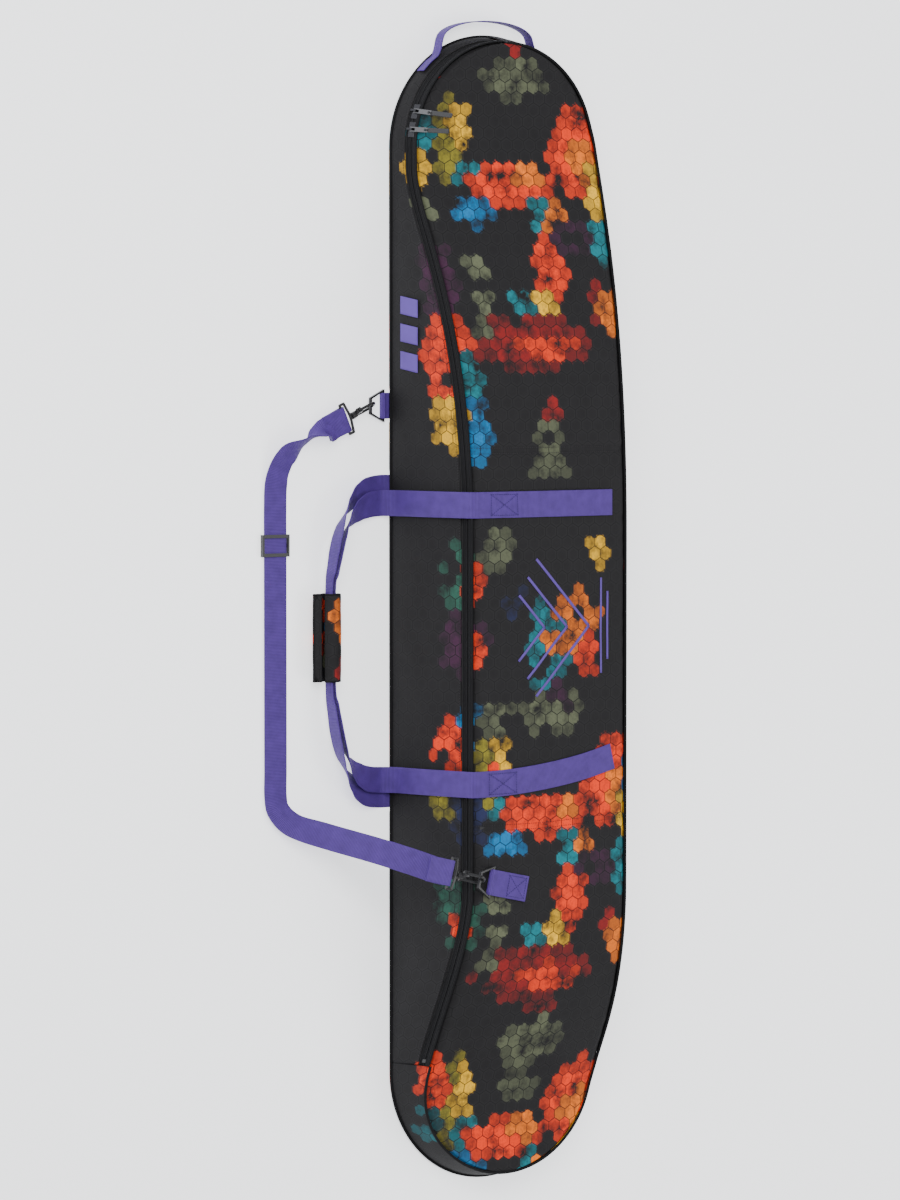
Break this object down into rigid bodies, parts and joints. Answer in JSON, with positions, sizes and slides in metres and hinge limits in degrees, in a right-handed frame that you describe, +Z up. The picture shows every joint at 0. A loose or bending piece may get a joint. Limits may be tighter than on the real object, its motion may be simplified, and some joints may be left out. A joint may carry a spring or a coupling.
{
  "type": "snowboard bag",
  "caption": "Padded snowboard bag with a wrap-round zip, webbing haul handles joined in a soft grip, nose handle and clip-on shoulder strap.",
  "frame": {"origin": "middle of the back panel's outer face, which rests on the floor", "axes": "+X from the nose to the tail, -Y towards the zipped side, +Z up through the front panel"},
  "size_m": [1.709, 0.554, 0.182],
  "materials": {
    "printed_cloth": "matt woven polyester with a printed honeycomb pattern",
    "foam": "open foam padding",
    "lining_cloth": "plain woven lining",
    "black_tape": "woven tape",
    "coil_plastic": "moulded nylon",
    "black_metal": "satin black enamel on zinc",
    "soft_plastic": "soft moulded",
    "steel": "plain steel",
    "black_plastic": "satin moulded acetal",
    "purple_webbing": "woven polypropylene webbing"
  },
  "bodies": {
    "bag": {"back_panel": "printed_cloth", "back_foam": "foam", "back_lining": "lining_cloth", "zip_side_gusset": "printed_cloth", "plain_side_gusset": "printed_cloth", "tail_gusset": "printed_cloth", "zip_side_foam": "foam", "plain_side_foam": "foam", "tail_foam": "foam", "side_lining": "lining_cloth", "front_nose_panel": "printed_cloth", "front_middle_panel": "printed_cloth", "front_tail_panel": "printed_cloth", "front_foam": "foam", "front_lining": "lining_cloth", "front_piping": "black_tape", "back_piping": "black_tape", "back_seam_binding": "lining_cloth", "zip_tape_front": "black_tape", "zip_tape_side": "black_tape", "zip_coil_front": "coil_plastic", "zip_coil_side": "coil_plastic", "zip_end_stops": "coil_plastic", "front_haul_strap_upper": "purple_webbing", "back_haul_strap_upper": "purple_webbing", "front_haul_strap_lower": "purple_webbing", "back_haul_strap_lower": "purple_webbing", "grab_handle_ends": "purple_webbing", "anchor_tab_upper": "purple_webbing", "anchor_tab_lower": "purple_webbing"},
    "slider_nose": {"zip_slider_nose": "black_metal"},
    "slider_tail": {"zip_slider_tail": "black_metal"},
    "pull_nose": {"zip_pull_nose": "black_metal", "pull_grip_nose": "soft_plastic"},
    "pull_tail": {"zip_pull_tail": "black_metal", "pull_grip_tail": "soft_plastic"},
    "haul_handle": {"front_handle_loop": "purple_webbing", "back_handle_loop": "purple_webbing", "grip_wrap": "printed_cloth", "grip_loop_patch": "black_tape"},
    "grip_flap": {"grip_flap": "printed_cloth", "grip_hook_patch": "black_tape"},
    "grab_handle": {"grab_handle": "purple_webbing"},
    "ring_upper": {"ring_upper": "black_plastic"},
    "ring_lower": {"ring_lower": "black_plastic"},
    "shoulder_strap": {"shoulder_strap": "purple_webbing", "swivel_eye_upper": "black_plastic", "swivel_eye_lower": "black_plastic"},
    "hook_upper": {"snap_hook_upper": "black_plastic", "gate_pin_upper": "steel"},
    "hook_lower": {"snap_hook_lower": "black_plastic", "gate_pin_lower": "steel"},
    "gate_upper": {"hook_gate_upper": "black_plastic"},
    "gate_lower": {"hook_gate_lower": "black_plastic"},
    "tri_glide": {"tri_glide": "black_plastic"}
  },
  "joints": [
    {"name": "slider_nose_run", "type": "hinge", "parent": "bag", "child": "slider_nose", "pos_m": [-0.677, 0.00336, 0.042], "axis": [0, 0, -1], "range_deg": [0, 62]},
    {"name": "slider_tail_run", "type": "hinge", "parent": "bag", "child": "slider_tail", "pos_m": [-0.677, 0.00336, 0.042], "axis": [0, 0, 1], "range_deg": [0, 9]},
    {"name": "pull_nose_flip", "type": "hinge", "parent": "slider_nose", "child": "pull_nose", "pos_m": [-0.73062, -0.14894, 0.04336], "axis": [0.9433, -0.3321, 0], "range_deg": [0, 110]},
    {"name": "pull_tail_flip", "type": "hinge", "parent": "slider_tail", "child": "pull_tail", "pos_m": [-0.70381, -0.15586, 0.04336], "axis": [0.9861, -0.166, 0], "range_deg": [0, 110]},
    {"name": "haul_handle_lift", "type": "hinge", "parent": "bag", "child": "haul_handle", "pos_m": [0, -0.183, 0.005], "axis": [-1, 0, 0], "range_deg": [0, 90]},
    {"name": "grip_flap_peel", "type": "hinge", "parent": "haul_handle", "child": "grip_flap", "pos_m": [-0.031, -0.2958, 0.0211], "axis": [-1, 0, 0], "range_deg": [0, 100]},
    {"name": "grab_handle_fold", "type": "hinge", "parent": "bag", "child": "grab_handle", "pos_m": [-0.832, 0, 0.014], "axis": [0, 1, 0], "range_deg": [0, 30]},
    {"name": "ring_upper_tilt", "type": "hinge", "parent": "bag", "child": "ring_upper", "pos_m": [-0.302, -0.179, 0.00505], "axis": [-1, 0, 0], "range_deg": [-4, 2]},
    {"name": "ring_lower_tilt", "type": "hinge", "parent": "bag", "child": "ring_lower", "pos_m": [0.387, -0.097, 0.1654], "axis": [-0.9781, 0.2079, 0], "range_deg": [-4, 0]},
    {"name": "shoulder_strap_swing", "type": "hinge", "parent": "bag", "child": "shoulder_strap", "pos_m": [-0.302, -0.20467, 0.01121], "axis": [-0.9665, -0.1171, -0.2282], "range_deg": [0, 70]},
    {"name": "hook_upper_swivel", "type": "hinge", "parent": "shoulder_strap", "child": "hook_upper", "pos_m": [-0.29081, -0.23012, 0.01121], "axis": [0.4024, -0.9155, 0], "range_deg": [-30, 8]},
    {"name": "gate_upper_press", "type": "hinge", "parent": "hook_upper", "child": "gate_upper", "pos_m": [-0.29674, -0.22781, 0.01901], "axis": [-0.7928, -0.3485, -0.5], "range_deg": [0, 20], "stiffness_Nm_per_rad": 0.02, "springref_deg": -11.46},
    {"name": "hook_lower_swivel", "type": "hinge", "parent": "shoulder_strap", "child": "hook_lower", "pos_m": [0.37499, -0.1482, 0.16706], "axis": [-0.2423, -0.949, -0.2019], "range_deg": [-30, 0]},
    {"name": "gate_lower_press", "type": "hinge", "parent": "hook_lower", "child": "gate_lower", "pos_m": [0.37133, -0.14435, 0.17561], "axis": [-0.8141, 0.3121, -0.4897], "range_deg": [0, 18], "stiffness_Nm_per_rad": 0.02, "springref_deg": -11.46},
    {"name": "tri_glide_slide", "type": "slide", "parent": "shoulder_strap", "child": "tri_glide", "axis": [1, 0, 0], "range_m": [-0.05, 0.2]}
  ]
}
